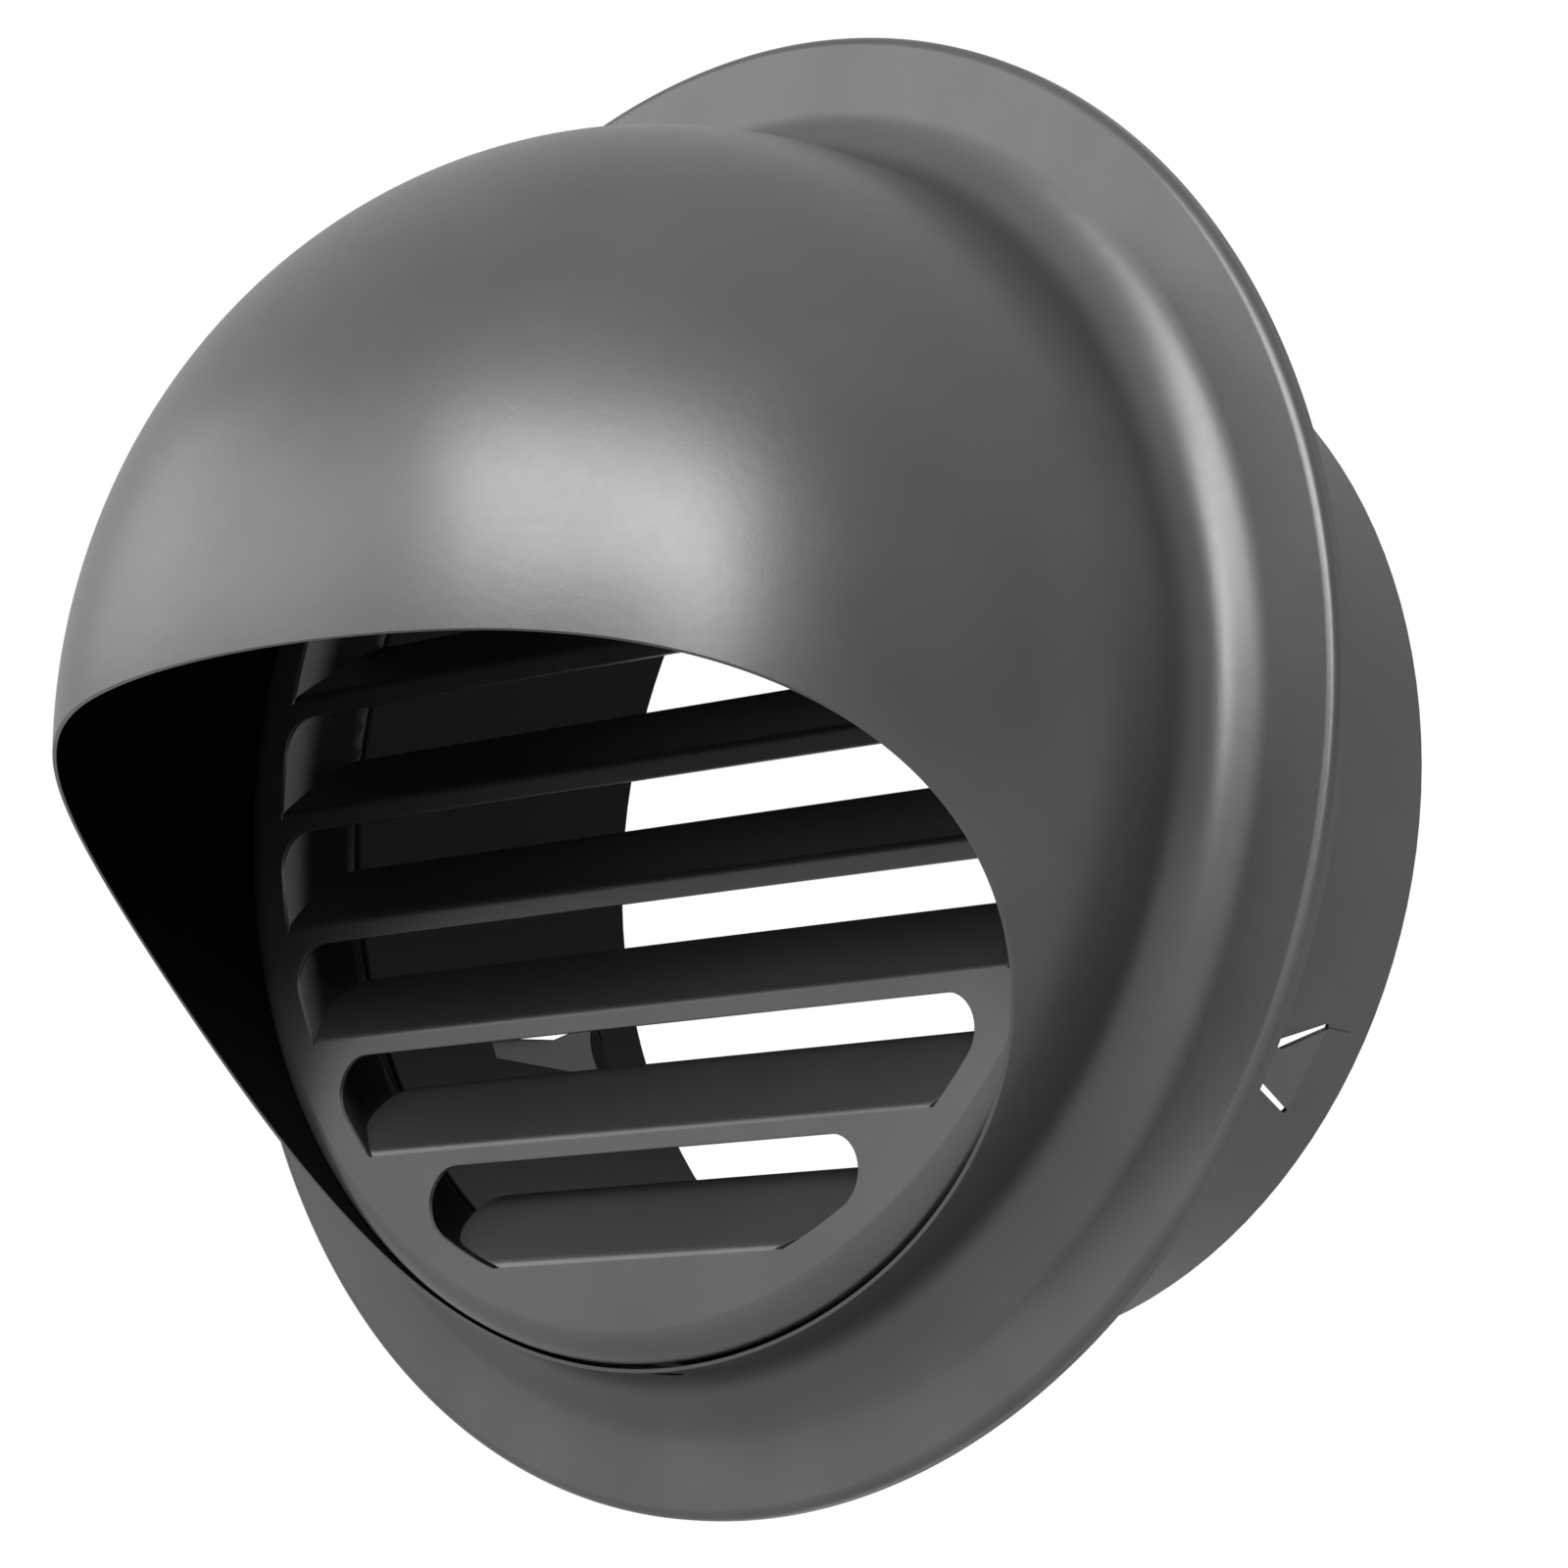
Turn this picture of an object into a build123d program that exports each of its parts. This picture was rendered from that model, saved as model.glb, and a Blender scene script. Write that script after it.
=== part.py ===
# Wall vent cap: a domed hood with its wall flange, a louvred grille and a duct collar.
# Millimetres. X runs to the right seen from in front, Y into the wall and Z up.
# The origin is on the duct's axis, in the plane of the wall.
import os
from math import cos, radians, sin, sqrt

from build123d import *

# Sheet thicknesses
hood_sheet = 0.6
grille_sheet = 0.6
collar_sheet = 0.6

# Duct collar: the tube, and the ring at its front that carries the grille's skirt and meets the hood
collar_radius = 75.0
collar_reach = 51.0
collar_ring_standoff = 1.7
collar_ring_clearance = 0.5
collar_bend_radius = 1.0

# Spring barbs lanced from the collar
barb_count = 3
barb_first_angle = -33.0
barb_spacing = 123.5
barb_root_from_end = 8.5
barb_root_patch = 4.5
barb_length = 23.0
barb_flare = 9.0
barb_root_width = 12.4
barb_neck_width = 5.2
barb_tip_width = 4.4
barb_lean = 8.0
barb_bend_radius = 6.0
barb_slit = 0.75
barb_slit_end_radius = 0.5

# Louvred grille
grille_forward = 19.5
skirt_outset = 6.4
grille_edge_radius = 4.0
grille_clearance = 0.5
slot_border = 8.4
slot_pitch = 16.5
slot_bar = 2.2
slot_corner_radius = 5.0
slot_bottom_margin = 5.0
flap_lean_lowest = 39.6
flap_lean_step = 2.4
flap_bend_radius = 1.2
flap_gap = 0.45

# Hood: turned-back rim, wall flange, fillet, straight base, shoulder and crown
flange_height = 2.7
flange_width = 18.5
rim_bend_radius = 1.4
base_fillet_radius = 8.5
base_straight = 8.6
shoulder_centre_radius = 12.2
crown_radius = 111.0

# Mouth: a round cut seen from the side, and the drain hole behind its lowest lip
mouth_radius = 84.5
mouth_lip_forward = 15.5
mouth_axis_below_base = 1.0
drain_diameter = 4.2
drain_setback = 3.2

# Sizes that follow from those above
skirt_radius = collar_radius + skirt_outset
base_radius = skirt_radius + grille_clearance + hood_sheet
flange_radius = base_radius + flange_width
collar_ring_forward = flange_height + collar_ring_standoff
ring_from_fillet = base_fillet_radius + hood_sheet + collar_ring_clearance
ring_inset = sqrt(ring_from_fillet**2 - (base_fillet_radius - collar_ring_standoff) ** 2)
collar_ring_radius = base_radius + base_fillet_radius - ring_inset
barb_root_back = collar_reach - barb_root_from_end
slot_end_radius = skirt_radius - slot_border
slot_height = slot_pitch - slot_bar
lowest_hinge = slot_bottom_margin - slot_end_radius
slot_count = int(2 * abs(lowest_hinge) // slot_pitch)
base_front = -(flange_height + base_fillet_radius + base_straight)
shoulder_radius = base_radius - shoulder_centre_radius
centres_apart = crown_radius - shoulder_radius
crown_centre = base_front + sqrt(centres_apart**2 - shoulder_centre_radius**2)
crown_out = shoulder_centre_radius / centres_apart
crown_along = (base_front - crown_centre) / centres_apart
mouth_axis_forward = mouth_lip_forward + mouth_radius
mouth_axis_drop = base_radius + mouth_axis_below_base
drain_forward = mouth_lip_forward - drain_setback

# Outlines that are turned about the duct's axis are drawn above it: radius up, Y across
turning_plane = Plane(origin=(0, 0, 0), x_dir=(0, 0, 1), z_dir=(-1, 0, 0))

os.makedirs("parts", exist_ok=True)


def draw_hood_outline(inset):
    """Draw the hood's filled outline, from the axis to the wall, inset from its outer face."""
    crown = TangentArc(
        (0, crown_centre - crown_radius + inset),
        (crown_out * (crown_radius - inset), crown_centre + crown_along * (crown_radius - inset)),
        tangent=(1, 0),
    )
    shoulder = TangentArc(crown @ 1, (base_radius - inset, base_front), tangent=crown % 1)
    base = Line(shoulder @ 1, (base_radius - inset, base_front + base_straight))
    fillet_end = (base_radius + base_fillet_radius, inset - flange_height)
    base_fillet = TangentArc(base @ 1, fillet_end, tangent=base % 1)
    flange = Line(base_fillet @ 1, (flange_radius - rim_bend_radius, inset - flange_height))
    rim_start = (flange_radius - inset, rim_bend_radius - flange_height)
    rim_bend = TangentArc(flange @ 1, rim_start, tangent=flange % 1)
    Polyline(rim_bend @ 1, (flange_radius - inset, 0), (0, 0), crown @ 0)


# Hood: one drawn sheet, trimmed at the mouth and pierced for the drain
with BuildPart() as hood:
    with BuildSketch(turning_plane):
        with BuildLine():
            draw_hood_outline(0)
        make_face()
    revolve(axis=Axis.Y)
    with BuildSketch(Plane.YZ):
        with Locations((-mouth_axis_forward, -mouth_axis_drop)):
            Circle(mouth_radius)
    extrude(amount=flange_radius, both=True, mode=Mode.SUBTRACT)
    with BuildSketch(Plane.XY):
        with Locations((0, -drain_forward)):
            Circle(drain_diameter / 2)
    extrude(amount=-flange_radius, mode=Mode.SUBTRACT)
    with BuildSketch(turning_plane):
        with BuildLine():
            draw_hood_outline(hood_sheet)
        make_face()
    revolve(axis=Axis.Y, mode=Mode.SUBTRACT)

# Flaps of the grille: bent strips trimmed to the outline of their slots
flaps = []
for row in range(slot_count):
    hinge = lowest_hinge + row * slot_pitch
    lean = flap_lean_lowest + row * flap_lean_step
    bend_length = radians(lean) * (flap_bend_radius + grille_sheet / 2)
    flap_length = slot_height - flap_gap
    with BuildPart() as flap:
        with BuildSketch(Plane.YZ):
            with BuildLine():
                bend = JernArc(
                    start=(-grille_forward, hinge),
                    tangent=(0, 1),
                    radius=flap_bend_radius + grille_sheet,
                    arc_size=-lean,
                )
                Line(bend @ 1, bend @ 1 + (bend % 1) * (flap_length - bend_length))
                offset(amount=grille_sheet, side=Side.RIGHT)
            make_face()
        extrude(amount=slot_end_radius, both=True)
        bend_end = bend @ 1 - (bend % 1) * bend_length
        lean_plane = Plane(
            origin=(0, bend_end.X, bend_end.Y),
            x_dir=(1, 0, 0),
            z_dir=(0, -cos(radians(lean)), sin(radians(lean))),
        )
        with BuildSketch(lean_plane) as outline:
            with Locations((0, -hinge)):
                Circle(slot_end_radius - flap_gap)
            Rectangle(2 * slot_end_radius, 2 * flap_length, mode=Mode.INTERSECT)
            fillet(outline.vertices().group_by(Axis.Y)[-1], slot_corner_radius)
        extrude(amount=slot_height, both=True, mode=Mode.INTERSECT)
    flaps.append(flap.part)

# Louvred grille: a pressed cup with its slots cut and its flaps bent inward
with BuildPart() as louvre_grille:
    with BuildSketch(turning_plane):
        with BuildLine():
            face = Line((0, -grille_forward), (skirt_radius - grille_edge_radius, -grille_forward))
            edge = TangentArc(
                face @ 1, (skirt_radius, grille_edge_radius - grille_forward), tangent=face % 1
            )
            Line(edge @ 1, (skirt_radius, -collar_ring_forward))
            offset(amount=grille_sheet, side=Side.LEFT)
        make_face()
    revolve(axis=Axis.Y)
    for row in range(slot_count):
        middle = lowest_hinge + row * slot_pitch + slot_height / 2
        with BuildSketch(Plane.XZ.offset(grille_forward)) as slot:
            Circle(slot_end_radius)
            with Locations((0, middle)):
                Rectangle(2 * slot_end_radius, slot_height, mode=Mode.INTERSECT)
            fillet(slot.vertices().group_by(Axis.Y)[-1], slot_corner_radius)
        extrude(amount=-grille_sheet, mode=Mode.SUBTRACT)
    add(flaps)


def draw_barb_outline(margin):
    """Draw the barb's outline in front of its root, wider all round by a margin."""
    sides = (
        (barb_root_back, barb_root_width),
        (barb_root_back - barb_flare, barb_neck_width),
        (barb_root_back - barb_length - margin, barb_tip_width),
    )
    upper = [(along, width / 2 + margin) for along, width in sides]
    lower = [(along, -across) for along, across in reversed(upper)]
    Polyline(*upper, *lower, close=True)


# One barb and its window, made where the collar faces +X
with BuildPart() as barb:
    with BuildSketch(Plane.XY):
        with BuildLine():
            inside = collar_radius - collar_sheet
            patch = Line((inside, barb_root_back + barb_root_patch), (inside, barb_root_back))
            barb_bend = JernArc(
                start=patch @ 1,
                tangent=patch % 1,
                radius=barb_bend_radius,
                arc_size=barb_lean,
            )
            Line(barb_bend @ 1, barb_bend @ 1 + (barb_bend % 1) * barb_length)
            offset(amount=collar_sheet, side=Side.LEFT)
        make_face()
    extrude(amount=barb_root_width / 2, both=True)
    with BuildSketch(Plane.YZ.offset(inside)):
        with BuildLine():
            draw_barb_outline(0)
        make_face()
        with Locations((barb_root_back + barb_root_patch / 2, 0)):
            Rectangle(barb_root_patch, barb_root_width)
    extrude(amount=barb_length, both=True, mode=Mode.INTERSECT)

with BuildPart() as barb_window:
    with BuildSketch(Plane.YZ) as window:
        with BuildLine():
            draw_barb_outline(barb_slit)
        make_face()
        fillet(window.vertices().group_by(Axis.X)[-1], barb_slit_end_radius)
    extrude(amount=flange_radius)

# Duct collar: a rolled tube with its front end turned out into a ring
with BuildPart() as duct_collar:
    with BuildSketch(turning_plane):
        with BuildLine():
            ring_back = collar_sheet - collar_ring_forward
            tube = Line((collar_radius, collar_reach), (collar_radius, ring_back + collar_bend_radius))
            turn = TangentArc(
                tube @ 1, (collar_radius + collar_bend_radius, ring_back), tangent=tube % 1
            )
            Line(turn @ 1, (collar_ring_radius, ring_back))
            offset(amount=collar_sheet, side=Side.RIGHT)
        make_face()
    revolve(axis=Axis.Y)
    for number in range(barb_count):
        angle = barb_first_angle - number * barb_spacing
        add(barb_window.part.rotate(Axis.Y, -angle), mode=Mode.SUBTRACT)
        add(barb.part.rotate(Axis.Y, -angle))

hood.part.label = "hood"
export_step(hood.part, "parts/hood.step")

louvre_grille.part.label = "louvre_grille"
export_step(louvre_grille.part, "parts/louvre_grille.step")

duct_collar.part.label = "duct_collar"
export_step(duct_collar.part, "parts/duct_collar.step")
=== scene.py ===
from math import acos, asin, cos, hypot, pi, radians, sin, sqrt

import bpy
from mathutils import Matrix, Vector
from mathutils.geometry import delaunay_2d_cdt


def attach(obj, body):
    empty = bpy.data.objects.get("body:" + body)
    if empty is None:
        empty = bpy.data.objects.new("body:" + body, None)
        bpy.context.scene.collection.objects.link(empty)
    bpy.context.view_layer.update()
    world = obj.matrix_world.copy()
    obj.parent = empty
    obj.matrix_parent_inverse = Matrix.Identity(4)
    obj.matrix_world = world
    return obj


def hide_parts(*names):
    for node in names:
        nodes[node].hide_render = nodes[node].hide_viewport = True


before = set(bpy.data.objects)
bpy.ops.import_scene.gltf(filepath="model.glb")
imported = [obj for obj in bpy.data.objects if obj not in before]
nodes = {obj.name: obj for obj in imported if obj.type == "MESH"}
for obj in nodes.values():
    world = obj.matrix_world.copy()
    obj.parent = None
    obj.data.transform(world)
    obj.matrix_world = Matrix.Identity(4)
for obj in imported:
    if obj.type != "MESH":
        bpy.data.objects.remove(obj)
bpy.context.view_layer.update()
scene = bpy.context.scene
MM = 0.001

# Sizes of the hood, as its solid has them, in millimetres
SHEET = 0.6
BASE_RADIUS = 82.5
FLANGE_RADIUS = 101.0
FLANGE_HEIGHT = 2.7
RIM_BEND = 1.4
FILLET = 8.5
BASE_STRAIGHT = 8.6
SHOULDER_OUT = 12.2
CROWN = 111.0
MOUTH_RADIUS = 84.5
MOUTH_LIP = 15.5
MOUTH_BELOW = 1.0
DRAIN = 4.2
DRAIN_SETBACK = 3.2

# The broken edge of the hood's sheet, which its solid doesn't have
EDGE = 0.12

# Sizes that follow from those above
FILLET_START = -(FLANGE_HEIGHT + FILLET)
BASE_FRONT = FILLET_START - BASE_STRAIGHT
SHOULDER = BASE_RADIUS - SHOULDER_OUT
CROWN_CENTRE = BASE_FRONT + sqrt((CROWN - SHOULDER) ** 2 - SHOULDER_OUT**2)
CROWN_ANGLE = asin(SHOULDER_OUT / (CROWN - SHOULDER))
MOUTH_Y = -(MOUTH_LIP + MOUTH_RADIUS)
MOUTH_Z = -(BASE_RADIUS + MOUTH_BELOW)
DRAIN_Y = DRAIN_SETBACK - MOUTH_LIP

# How finely the hood is divided. Inside the ring at this angle of the fillet it is filled with triangles
RING_ANGLE = radians(12)
OUTER_SPACING = 1.4
INNER_SPACING = 2.6
TURN_STEPS = 420
MOUTH_STEPS = 170
DRAIN_STEPS = 32
OUTLINE_STEPS = {"fillet": 15, "flange": 4, "rim": 8}
FEWEST_IN_RING = 6
HALVINGS = 60
ON_AXIS = 1e-9
SAME_POINT = 1e-6
TRIANGLES_OF_HULL = 0

# Where the search for the ends of the mouth's edge stops, as angles about the mouth's axis
MOUTH_FRONT_LIMIT = pi / 4
MOUTH_BOTTOM_LIMIT = pi / 8

# The paint
PAINT_COLOUR = (0.125, 0.125, 0.127)
PAINT_METALLIC = 0.65
PAINT_SPECULAR = 0.5
PAINT_ROUGHNESS = 0.36
ROUGHNESS_SPREAD = 0.03
MOTTLE_STOPS = ((0.3, 0.93), (0.7, 1.06))
GRAIN_SHARE = 0.35

# Sockets of a colour mix node, which share their names with those of its other data types
MIX_FIRST, MIX_SECOND, MIX_RESULT = 6, 7, 2


# Materials
def new_material(name):
    material = bpy.data.materials.new(name)
    material.use_nodes = True
    tree = material.node_tree
    return material, tree, tree.nodes["Principled BSDF"]


def add_node(tree, kind, **values):
    """A new node, with its settings and the values of its inputs given by name."""
    node = tree.nodes.new(kind)
    for key, value in values.items():
        if hasattr(node, key):
            setattr(node, key, value)
        else:
            node.inputs[key].default_value = value
    return node


def grey(level):
    return (level, level, level, 1.0)


def largest(tree, sockets):
    """The largest of several values."""
    level = sockets[0]
    for socket in sockets[1:]:
        larger = add_node(tree, "ShaderNodeMath", operation="MAXIMUM")
        tree.links.new(level, larger.inputs[0])
        tree.links.new(socket, larger.inputs[1])
        level = larger.outputs["Value"]
    return level


def within_bore(tree, place, bore):
    """1 where the surface lies nearer to the duct's axis than the bore's radius, in metres."""
    flat = add_node(tree, "ShaderNodeVectorMath", operation="MULTIPLY")
    flat.inputs[1].default_value = (1.0, 0.0, 1.0)
    tree.links.new(place.outputs["Object"], flat.inputs[0])
    away = add_node(tree, "ShaderNodeVectorMath", operation="LENGTH")
    tree.links.new(flat.outputs["Vector"], away.inputs[0])
    nearer = add_node(tree, "ShaderNodeMath", operation="LESS_THAN")
    nearer.inputs[1].default_value = bore
    tree.links.new(away.outputs["Value"], nearer.inputs[0])
    return nearer.outputs["Value"]


def paint(name, edge_radius=0.0, painted_shade_colour=0.0, painted_shade_gloss=0.0, bore=0.0):
    """Satin metallic paint: faint mottling, fine orange peel and grain, soft edges, and painted shade on
    the inside.
    """
    material, tree, shader = new_material(name)
    link = tree.links.new
    place = add_node(tree, "ShaderNodeTexCoord")
    mottle = add_node(tree, "ShaderNodeTexNoise", Scale=45.0, Detail=2.0, Roughness=0.55)
    peel = add_node(tree, "ShaderNodeTexNoise", Scale=700.0, Detail=2.0, Roughness=0.5)
    grain = add_node(tree, "ShaderNodeTexNoise", Scale=3200.0, Detail=1.0, Roughness=0.5)
    for node in (mottle, peel, grain):
        link(place.outputs["Object"], node.inputs["Vector"])

    # Colour: mottled paint, and painted shade that makes the inside near black
    shade = add_node(tree, "ShaderNodeValToRGB")
    for stop, (position, change) in zip(shade.color_ramp.elements, MOTTLE_STOPS):
        stop.position = position
        stop.color = [change * c for c in PAINT_COLOUR] + [1.0]
    link(mottle.outputs["Fac"], shade.inputs["Fac"])
    # Where the painted shade goes: the collar's bore, or the hood's vertices marked as its inside
    if bore:
        interior_shade = within_bore(tree, place, bore)
    else:
        interior_shade = add_node(tree, "ShaderNodeAttribute", attribute_name="interior_shade").outputs["Fac"]
    colours = add_node(tree, "ShaderNodeMix", data_type="RGBA")
    link(interior_shade, colours.inputs["Factor"])
    link(shade.outputs["Color"], colours.inputs[MIX_FIRST])
    colours.inputs[MIX_SECOND].default_value = grey(painted_shade_colour)
    link(colours.outputs[MIX_RESULT], shader.inputs["Base Color"])

    # Gloss: less of it where the inside has painted shade, and slightly uneven
    for socket, value in (("Metallic", PAINT_METALLIC), ("Specular IOR Level", PAINT_SPECULAR)):
        scaled = add_node(tree, "ShaderNodeMath", operation="MULTIPLY_ADD")
        scaled.inputs[1].default_value = value * (painted_shade_gloss - 1.0)
        scaled.inputs[2].default_value = value
        link(interior_shade, scaled.inputs[0])
        link(scaled.outputs["Value"], shader.inputs[socket])
    rough = add_node(tree, "ShaderNodeMapRange")
    rough.inputs["To Min"].default_value = PAINT_ROUGHNESS - ROUGHNESS_SPREAD
    rough.inputs["To Max"].default_value = PAINT_ROUGHNESS + ROUGHNESS_SPREAD
    link(peel.outputs["Fac"], rough.inputs["Value"])
    link(rough.outputs["Result"], shader.inputs["Roughness"])

    # Relief: orange peel and grain, over softened edges
    height = add_node(tree, "ShaderNodeMath", operation="MULTIPLY_ADD")
    height.inputs[1].default_value = GRAIN_SHARE
    link(grain.outputs["Fac"], height.inputs[0])
    link(peel.outputs["Fac"], height.inputs[2])
    bump = add_node(tree, "ShaderNodeBump", Strength=0.06, Distance=0.0003)
    link(height.outputs["Value"], bump.inputs["Height"])
    if edge_radius:
        soft = add_node(tree, "ShaderNodeBevel", samples=2, Radius=edge_radius)
        link(soft.outputs["Normal"], bump.inputs["Normal"])
    link(bump.outputs["Normal"], shader.inputs["Normal"])
    return material


# The hood's inside and the collar's bore get painted shade, near black
hood_paint = paint("hood_paint", painted_shade_colour=0.008)
grille_paint = paint("grille_paint", edge_radius=0.00025)
collar_paint = paint(
    "collar_paint",
    edge_radius=0.0002,
    painted_shade_colour=0.015,
    painted_shade_gloss=0.15,
    bore=0.0747,
)


def dress(obj, material):
    obj.data.materials.clear()
    obj.data.materials.append(material)


# The hood, turned smoothly from the same outline as its solid
def outline_point(inset, part, t):
    """A point (radius, y) of the hood's outline and its outward normal; t runs 0 to 1 in each part."""
    if part == "crown":
        a = t * CROWN_ANGLE
        return (CROWN - inset) * sin(a), CROWN_CENTRE - (CROWN - inset) * cos(a), sin(a), -cos(a)
    if part == "shoulder":
        a = CROWN_ANGLE + t * (pi / 2 - CROWN_ANGLE)
        size = SHOULDER - inset
        return SHOULDER_OUT + size * sin(a), BASE_FRONT - size * cos(a), sin(a), -cos(a)
    if part == "base":
        return BASE_RADIUS - inset, BASE_FRONT + t * BASE_STRAIGHT, 1.0, 0.0
    if part == "fillet":
        a = t * pi / 2
        size = FILLET + inset
        return BASE_RADIUS + FILLET - size * cos(a), FILLET_START + size * sin(a), cos(a), -sin(a)
    if part == "flange":
        start = BASE_RADIUS + FILLET
        return start + t * (FLANGE_RADIUS - RIM_BEND - start), inset - FLANGE_HEIGHT, 0.0, -1.0
    a = t * pi / 2
    size = RIM_BEND - inset
    centre = FLANGE_RADIUS - RIM_BEND
    return centre + size * sin(a), RIM_BEND - FLANGE_HEIGHT - size * cos(a), sin(a), -cos(a)


class Dome:
    """One face of the hood's sheet, from its tip to a ring a little way into the fillet."""

    def __init__(self, inset):
        self.inset = inset
        self.crown_length = (CROWN - inset) * CROWN_ANGLE
        self.shoulder_length = (SHOULDER - inset) * (pi / 2 - CROWN_ANGLE)
        self.base_end = self.crown_length + self.shoulder_length + BASE_STRAIGHT
        self.ring = self.base_end + (FILLET + inset) * RING_ANGLE
        self.tip = CROWN_CENTRE - (CROWN - inset)

    def at(self, s):
        """The outline's point and normal at a length along it from the tip."""
        if s < self.crown_length:
            return outline_point(self.inset, "crown", s / self.crown_length)
        s -= self.crown_length
        if s < self.shoulder_length:
            return outline_point(self.inset, "shoulder", s / self.shoulder_length)
        s -= self.shoulder_length
        if s < BASE_STRAIGHT:
            return outline_point(self.inset, "base", s / BASE_STRAIGHT)
        s -= BASE_STRAIGHT
        return outline_point(self.inset, "fillet", s / (FILLET + self.inset) / (pi / 2))

    def along(self, y):
        """The length along the outline from the tip to a given y."""
        crown_end = CROWN_CENTRE - (CROWN - self.inset) * cos(CROWN_ANGLE)
        if y < crown_end:
            return (CROWN - self.inset) * acos(min(1.0, (CROWN_CENTRE - y) / (CROWN - self.inset)))
        if y < BASE_FRONT:
            a = acos((BASE_FRONT - y) / (SHOULDER - self.inset))
            return self.crown_length + (SHOULDER - self.inset) * (a - CROWN_ANGLE)
        if y < FILLET_START:
            return self.crown_length + self.shoulder_length + y - BASE_FRONT
        return self.base_end + (FILLET + self.inset) * asin((y - FILLET_START) / (FILLET + self.inset))

    def point(self, p, q):
        """Position and normal at flat coordinates: length along the outline, spread round the axis."""
        s = hypot(p, q)
        r, y, out, along = self.at(s)
        across, up = (p / s, q / s) if s > ON_AXIS else (0.0, 1.0)
        return Vector((r * across, y, r * up)), Vector((out * across, along, out * up))

    def flat(self, position):
        """The flat coordinates of a point that lies on this face, or very near to it."""
        s = self.along(position.y)
        r = hypot(position.x, position.z)
        return s * position.x / r, s * position.z / r

    def mouth_curve(self):
        """Points of the mouth's edge, with the directions away from the mouth's axis."""

        def spare(angle):
            y = MOUTH_Y + MOUTH_RADIUS * cos(angle)
            z = MOUTH_Z + MOUTH_RADIUS * sin(angle)
            return self.at(self.along(y))[0] ** 2 - z**2

        def root(low, high):
            for _ in range(HALVINGS):
                middle = (low + high) / 2
                if (spare(middle) > 0) == (spare(high) > 0):
                    high = middle
                else:
                    low = middle
            return high

        front = root(acos((self.tip - MOUTH_Y) / MOUTH_RADIUS), MOUTH_FRONT_LIMIT)
        bottom = root(0.0, MOUTH_BOTTOM_LIMIT)
        curve = []
        for i in range(2 * MOUTH_STEPS):
            turn = pi * i / MOUTH_STEPS
            angle = (front + bottom) / 2 + (front - bottom) / 2 * cos(turn)
            y = MOUTH_Y + MOUTH_RADIUS * cos(angle)
            z = MOUTH_Z + MOUTH_RADIUS * sin(angle)
            x = sqrt(max(0.0, spare(angle)))
            curve.append((Vector((x if turn <= pi else -x, y, z)), Vector((0, cos(angle), sin(angle)))))
        return curve

    def drain_curve(self, size):
        """Points round the drain hole, at a given radius, on this face."""
        curve = []
        for i in range(DRAIN_STEPS):
            a = 2 * pi * i / DRAIN_STEPS
            x, y = size * cos(a), DRAIN_Y + size * sin(a)
            r = self.at(self.along(y))[0]
            curve.append(Vector((x, y, -sqrt(r**2 - x**2))))
        return curve


class Shell:
    """Collects vertices, their normals and faces, and which vertices lie on the inside that gets painted
    shade.
    """

    def __init__(self):
        self.points, self.normals, self.faces, self.interior_shade = [], [], [], []

    def add(self, point, normal, interior_shade=0.0):
        self.points.append(point * MM)
        self.normals.append(normal.normalized())
        self.interior_shade.append(interior_shade)
        return len(self.points) - 1

    def strip(self, one, other):
        """Faces between two closed rows of vertices; seen from outside, one lies left of the other."""
        count = len(one)
        for i in range(count):
            j = (i + 1) % count
            self.faces.append((one[i], one[j], other[j], other[i]))

    def build(self, name):
        mesh = bpy.data.meshes.new(name)
        mesh.from_pydata(self.points, [], self.faces)
        mesh.update()
        mesh.shade_smooth()
        mesh.normals_split_custom_set_from_vertices(self.normals)
        mesh.attributes.new("interior_shade", "FLOAT", "POINT").data.foreach_set("value", self.interior_shade)
        obj = bpy.data.objects.new(name, mesh)
        scene.collection.objects.link(obj)
        return obj


def signed_area(points):
    """The area within a row of flat points, above 0 where the row turns left."""
    total = 0.0
    for i, a in enumerate(points):
        b = points[(i + 1) % len(points)]
        total += a.x * b.y - b.x * a.y
    return total / 2


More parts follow.
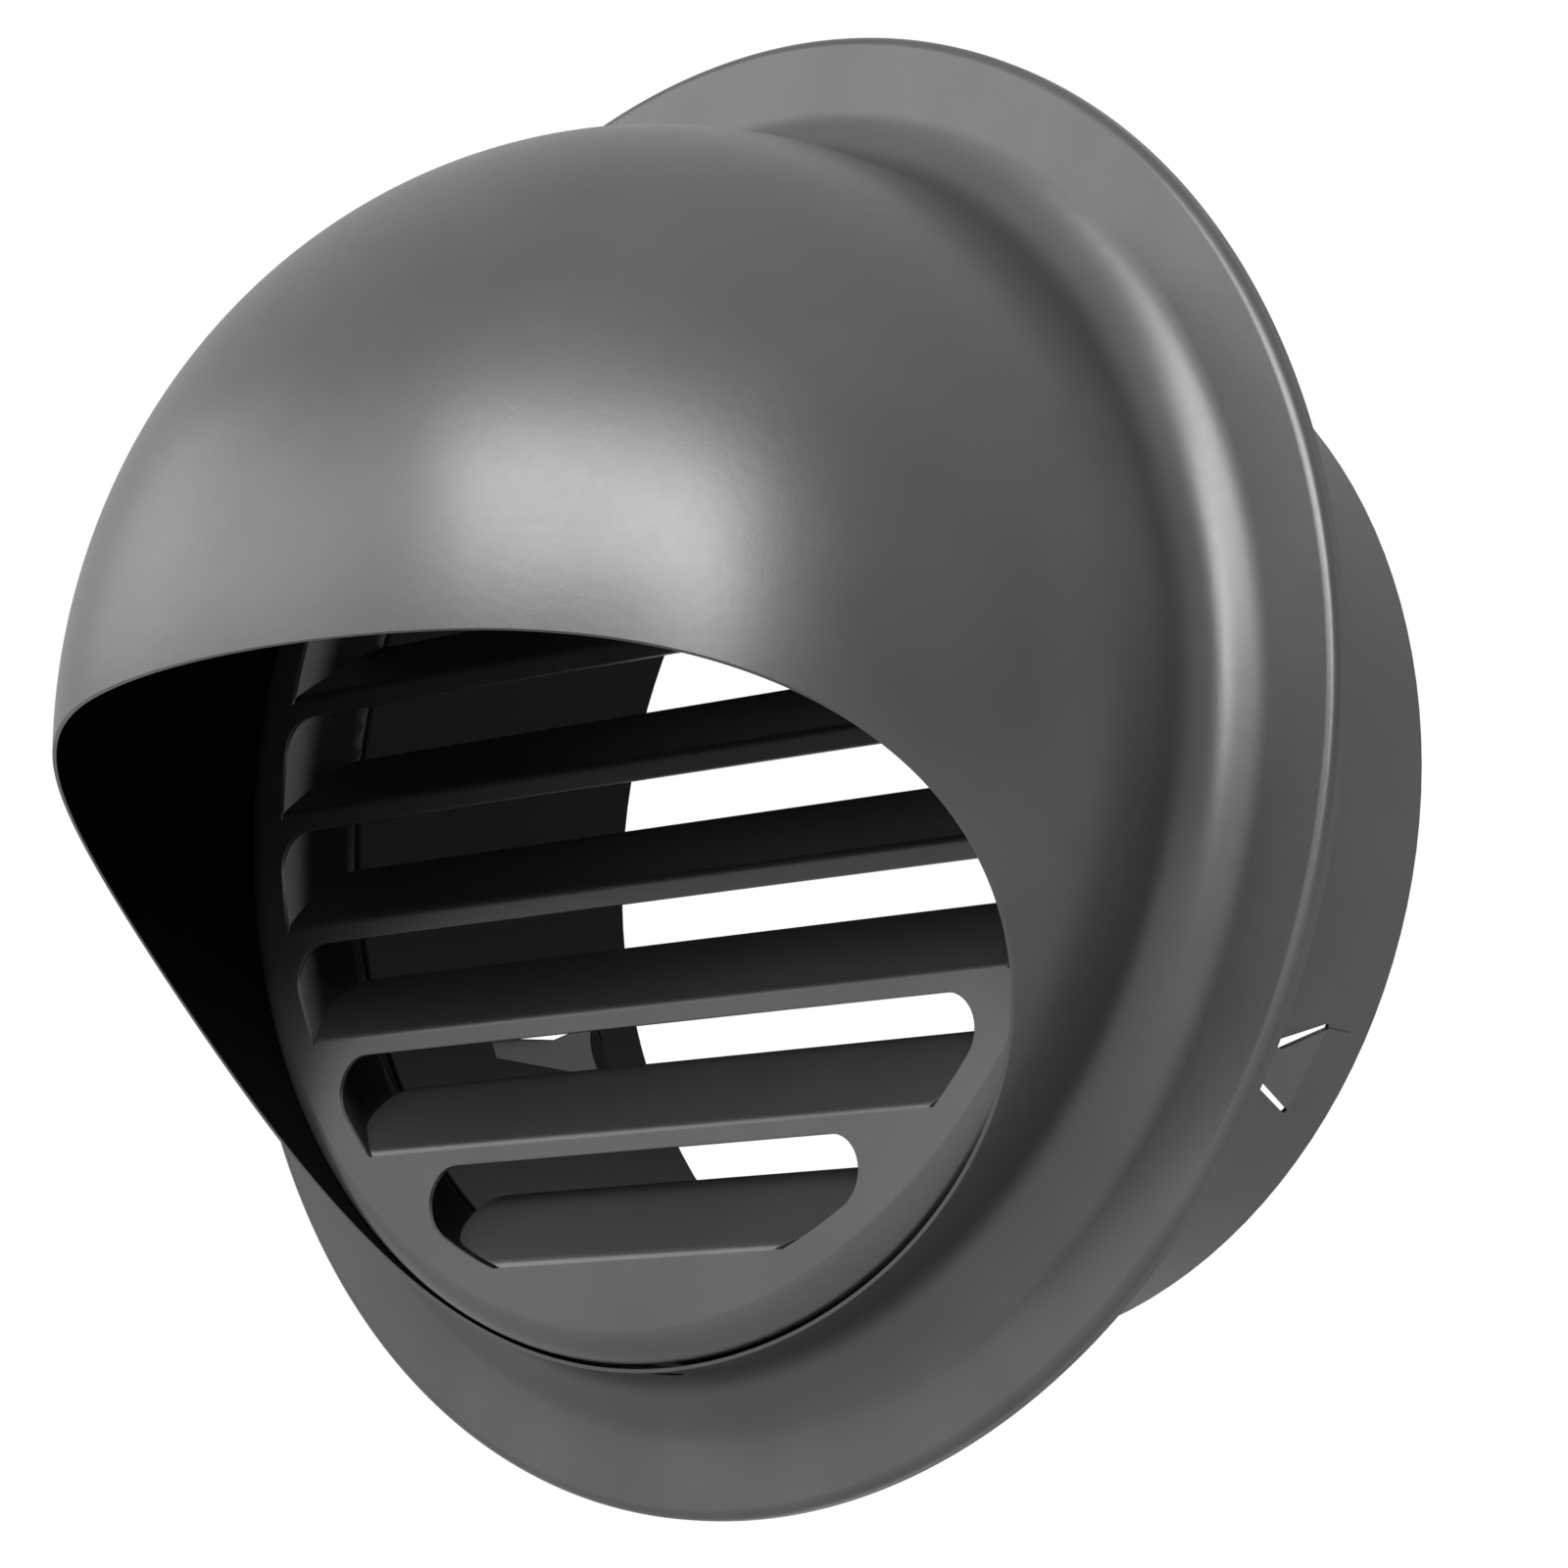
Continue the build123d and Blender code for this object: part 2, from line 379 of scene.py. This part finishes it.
def fill_face(shell, dome, sign, spacing, mouth_row, drain_row, ring_row):
    """Fills one face of the dome between the mouth's edge, the drain hole and the fillet's ring."""
    # The three rows that bound the face, each vertex with the number of its row and its place there
    flat, index, group = [], [], []
    edges = []
    for number, row in enumerate((mouth_row, drain_row, ring_row)):
        start = len(flat)
        for vertex in row:
            flat.append(Vector(dome.flat(shell.points[vertex] / MM)))
            index.append(vertex)
            group.append((number, len(flat) - 1 - start))
        edges += [(start + i, start + (i + 1) % len(row)) for i in range(len(row))]

    # Evenly spread vertices between them, clear of the mouth and the drain hole
    rings = int(dome.ring / spacing)
    for k in range(1, rings):
        s = dome.ring * k / rings
        count = max(FEWEST_IN_RING, round(2 * pi * s / spacing))
        for i in range(count):
            a = 2 * pi * (i + 0.5 * (k % 2)) / count
            p, q = s * sin(a), s * cos(a)
            position, normal = dome.point(p, q)
            from_mouth = hypot(position.y - MOUTH_Y, position.z - MOUTH_Z) - MOUTH_RADIUS
            from_drain = hypot(position.x, position.y - DRAIN_Y) - DRAIN / 2
            near_drain = position.z < 0 and from_drain < EDGE + spacing / 2
            if from_mouth < EDGE + spacing / 2 or near_drain:
                continue
            flat.append(Vector((p, q)))
            index.append(shell.add(position, normal * sign, float(sign < 0)))
            group.append((None, 0))

    # Triangles, without those that lie in the mouth or the drain hole
    _, _, triangles, sources, _, _ = delaunay_2d_cdt(flat, edges, [], TRIANGLES_OF_HULL, SAME_POINT)
    origin = [source[0] for source in sources]
    for triangle in triangles:
        corners = [origin[v] for v in triangle]
        rows = {group[c][0] for c in corners}
        if len(rows) == 1 and rows <= {0, 1}:
            places = [group[c][1] for c in corners]
            turn = places.index(min(places))
            ordered = places[turn:] + places[:turn]
            row_turns_left = signed_area([flat[i] for i, g in enumerate(group) if g[0] in rows]) > 0
            if (ordered[1] < ordered[2]) == row_turns_left:
                continue
        face = tuple(index[c] for c in corners)
        shell.faces.append(face if sign > 0 else face[::-1])


def make_hood():
    """The hood's sheet: its outer and inner faces, joined at the rim, the mouth and the drain hole."""
    shell = Shell()
    turns = [2 * pi * i / TURN_STEPS for i in range(TURN_STEPS)]
    ends = []
    # Vertices of the inner face are marked for painted shade
    for inset, sign, spacing in ((0.0, 1, OUTER_SPACING), (SHEET, -1, INNER_SPACING)):
        dome = Dome(inset)
        mouth = dome.mouth_curve()
        mouth_row = []
        for position, away in mouth:
            p, q = dome.flat(position)
            normal = dome.point(p, q)[1]
            inward = (away - away.dot(normal) * normal).normalized()
            p, q = dome.flat(position + inward * EDGE)
            position, normal = dome.point(p, q)
            mouth_row.append(shell.add(position, normal * sign, float(sign < 0)))
        drain_row = []
        for position in dome.drain_curve(DRAIN / 2 + EDGE):
            p, q = dome.flat(position)
            drain_row.append(shell.add(position, dome.point(p, q)[1] * sign, float(sign < 0)))

        # The fillet, the flange and its turned-back rim, as rings
        rows = []
        for part, steps in OUTLINE_STEPS.items():
            first = RING_ANGLE / (pi / 2) if part == "fillet" else 0.0
            for i in range(0 if part == "fillet" else 1, steps + 1):
                r, y, out, along = outline_point(inset, part, first + (1.0 - first) * i / steps)
                rows.append((r, y, out * sign, along * sign))
        rows.append((FLANGE_RADIUS - inset, -EDGE, sign, 0.0))
        rows.append((FLANGE_RADIUS - inset - sign * EDGE, 0.0, 0.0, 1.0))
        rings = []
        for r, y, out, along in rows:
            ring = []
            for a in turns:
                normal = Vector((out * sin(a), along, out * cos(a)))
                ring.append(shell.add(Vector((r * sin(a), y, r * cos(a))), normal))
            rings.append(ring)
        for one, other in zip(rings, rings[1:]):
            if sign > 0:
                shell.strip(one, other)
            else:
                shell.strip(other, one)
        fill_face(shell, dome, sign, spacing, mouth_row, drain_row, rings[0])
        ends.append((dome, mouth, mouth_row, drain_row, rings[-1]))
    outer_dome, outer_mouth, outer_mouth_row, outer_drain_row, outer_rim = ends[0]
    inner_dome, inner_mouth, inner_mouth_row, inner_drain_row, inner_rim = ends[1]
    shell.strip(outer_rim, inner_rim)

    # The cut edge round the mouth
    front, back = [], []
    for (near, away), (far, _) in zip(outer_mouth, inner_mouth):
        step = (far - near).normalized() * EDGE
        front.append(shell.add(near + step, -away))
        back.append(shell.add(far - step, -away))
    shell.strip(front, outer_mouth_row)
    shell.strip(back, front)
    shell.strip(inner_mouth_row, back)

    # The wall of the drain hole, with painted shade like the hood's inside
    near_row, far_row = [], []
    for near, far in zip(outer_dome.drain_curve(DRAIN / 2), inner_dome.drain_curve(DRAIN / 2)):
        normal = Vector((-near.x, DRAIN_Y - near.y, 0))
        near_row.append(shell.add(near + Vector((0, 0, EDGE)), normal, 1.0))
        far_row.append(shell.add(far - Vector((0, 0, EDGE)), normal, 1.0))
    shell.strip(near_row, outer_drain_row)
    shell.strip(far_row, near_row)
    shell.strip(inner_drain_row, far_row)
    return shell.build("hood_skin")


hood = make_hood()
dress(hood, hood_paint)
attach(hood, "root")
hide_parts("hood")

dress(nodes["louvre_grille"], grille_paint)
dress(nodes["duct_collar"], collar_paint)

# The camera, fitted to the photo
VIEW_AZIMUTH = radians(43.199)
VIEW_ELEVATION = radians(-10.53)
VIEW_ROLL = radians(1.29)
VIEW_CENTRE = (6.773, 0, -2.738)
VIEW_DISTANCE = 695.025
FOCAL_LENGTH_PIXELS = 5271.02
PHOTO_PIXELS = 1600
SENSOR_WIDTH = 36.0
back = Vector(
    (
        sin(VIEW_AZIMUTH) * cos(VIEW_ELEVATION),
        -cos(VIEW_AZIMUTH) * cos(VIEW_ELEVATION),
        sin(VIEW_ELEVATION),
    )
)
right = (-back).cross(Vector((0, 0, 1))).normalized()
up = right.cross(-back)
right, up = (
    cos(VIEW_ROLL) * right + sin(VIEW_ROLL) * up,
    cos(VIEW_ROLL) * up - sin(VIEW_ROLL) * right,
)
place = Vector(VIEW_CENTRE) * MM + back * VIEW_DISTANCE * MM
camera = bpy.data.objects.new("camera", bpy.data.cameras.new("camera"))
camera.matrix_world = Matrix(
    (
        (right.x, up.x, back.x, place.x),
        (right.y, up.y, back.y, place.y),
        (right.z, up.z, back.z, place.z),
        (0, 0, 0, 1),
    )
)
camera.data.sensor_width = SENSOR_WIDTH
camera.data.lens = SENSOR_WIDTH * FOCAL_LENGTH_PIXELS / PHOTO_PIXELS
camera.data.clip_start = 0.01
camera.data.clip_end = 50.0
scene.collection.objects.link(camera)
scene.camera = camera


# Light
def softbox(name, direction, distance, width, height, power):
    """A lamp that stands in a direction from the part and faces it; metres and watts."""
    lamp = bpy.data.lights.new(name, "AREA")
    lamp.shape = "RECTANGLE"
    lamp.size = width
    lamp.size_y = height
    lamp.energy = power
    obj = bpy.data.objects.new(name, lamp)
    toward = Vector(direction).normalized()
    obj.location = toward * distance
    obj.rotation_mode = "QUATERNION"
    obj.rotation_quaternion = (-toward).to_track_quat("-Z", "Y")
    scene.collection.objects.link(obj)


softbox("key", (0.26, -0.826, 0.50), distance=1.2, width=1.28, height=0.50, power=13.2)
softbox("front right", (0.64, -0.73, 0.22), distance=1.2, width=0.22, height=0.40, power=2.2)
softbox("side", (-0.75, -0.53, 0.36), distance=1.2, width=1.20, height=0.45, power=3.1)
softbox("right", (0.94, 0.0, 0.34), distance=1.4, width=0.60, height=0.80, power=0.6)

# The room: white to the camera. Reflections see it a little dimmer, and dimmest to the part's right
ROOM_FILL = 0.05
ROOM_GLOSS = 0.72
DIM_GLOSS = 0.18
DIM_DIRECTION = (0.97, -0.08, 0.12)
DIM_STARTS = 0.72
DIM_ENDS = 0.96
world = bpy.data.worlds.new("studio")
scene.world = world
world.use_nodes = True
tree = world.node_tree
tree.nodes.clear()
path = add_node(tree, "ShaderNodeLightPath")
look = add_node(tree, "ShaderNodeTexCoord")
toward = add_node(tree, "ShaderNodeVectorMath", operation="DOT_PRODUCT")
toward.inputs[1].default_value = Vector(DIM_DIRECTION).normalized()
tree.links.new(look.outputs["Generated"], toward.inputs[0])
dim = add_node(tree, "ShaderNodeMapRange", interpolation_type="SMOOTHSTEP")
dim.inputs["From Min"].default_value = DIM_STARTS
dim.inputs["From Max"].default_value = DIM_ENDS
dim.inputs["To Min"].default_value = ROOM_GLOSS
dim.inputs["To Max"].default_value = DIM_GLOSS
tree.links.new(toward.outputs["Value"], dim.inputs["Value"])
direct = [path.outputs["Is Camera Ray"], path.outputs["Is Transmission Ray"]]
room = add_node(tree, "ShaderNodeBackground", Color=grey(1.0), Strength=ROOM_FILL)
backdrop = add_node(tree, "ShaderNodeBackground", Color=grey(1.0))
tree.links.new(largest(tree, direct + [dim.outputs["Result"]]), backdrop.inputs["Strength"])
mix = add_node(tree, "ShaderNodeMixShader")
tree.links.new(largest(tree, direct + [path.outputs["Is Glossy Ray"]]), mix.inputs["Fac"])
tree.links.new(room.outputs["Background"], mix.inputs[1])
tree.links.new(backdrop.outputs["Background"], mix.inputs[2])
output = add_node(tree, "ShaderNodeOutputWorld")
tree.links.new(mix.outputs["Shader"], output.inputs["Surface"])

# A plain pale floor, well below the part, which hangs on a wall. Reflections see it as pale as the room,
# and the camera sees it pale out to its far edge, with the part's shadow on it
FLOOR_HALF = 6.0
FLOOR_DROP = -0.45
FLOOR_LIFT = 0.6
FLOOR_SHADES = (0.50, 0.54)
floor_material, floor_tree, floor_shader = new_material("floor")
speckle = add_node(floor_tree, "ShaderNodeTexNoise", Scale=60.0, Detail=3.0)
pale = add_node(floor_tree, "ShaderNodeValToRGB")
for stop, shade in zip(pale.color_ramp.elements, FLOOR_SHADES):
    stop.color = grey(shade)
floor_tree.links.new(speckle.outputs["Fac"], pale.inputs["Fac"])
floor_tree.links.new(pale.outputs["Color"], floor_shader.inputs["Base Color"])
floor_shader.inputs["Roughness"].default_value = 0.9
floor_path = add_node(floor_tree, "ShaderNodeLightPath")
seen = [floor_path.outputs["Is Camera Ray"], floor_path.outputs["Is Transmission Ray"]]
lift = add_node(floor_tree, "ShaderNodeMath", operation="MULTIPLY")
lift.inputs[1].default_value = FLOOR_LIFT
floor_tree.links.new(largest(floor_tree, seen), lift.inputs[0])
floor_tree.links.new(lift.outputs["Value"], floor_shader.inputs["Emission Strength"])
floor_shader.inputs["Emission Color"].default_value = grey(1.0)
glow = add_node(floor_tree, "ShaderNodeEmission", Strength=ROOM_GLOSS)
floor_mix = add_node(floor_tree, "ShaderNodeMixShader")
floor_tree.links.new(floor_path.outputs["Is Glossy Ray"], floor_mix.inputs["Fac"])
floor_tree.links.new(floor_shader.outputs["BSDF"], floor_mix.inputs[1])
floor_tree.links.new(glow.outputs["Emission"], floor_mix.inputs[2])
floor_tree.links.new(floor_mix.outputs["Shader"], floor_tree.nodes["Material Output"].inputs["Surface"])
floor_corners = [
    (FLOOR_HALF * x, FLOOR_HALF * y, FLOOR_DROP) for x, y in ((-1, -1), (1, -1), (1, 1), (-1, 1))
]
floor_mesh = bpy.data.meshes.new("floor")
floor_mesh.from_pydata(floor_corners, [], [(0, 1, 2, 3)])
floor = bpy.data.objects.new("floor", floor_mesh)
scene.collection.objects.link(floor)
dress(floor, floor_material)

scene.view_settings.view_transform = "Standard"
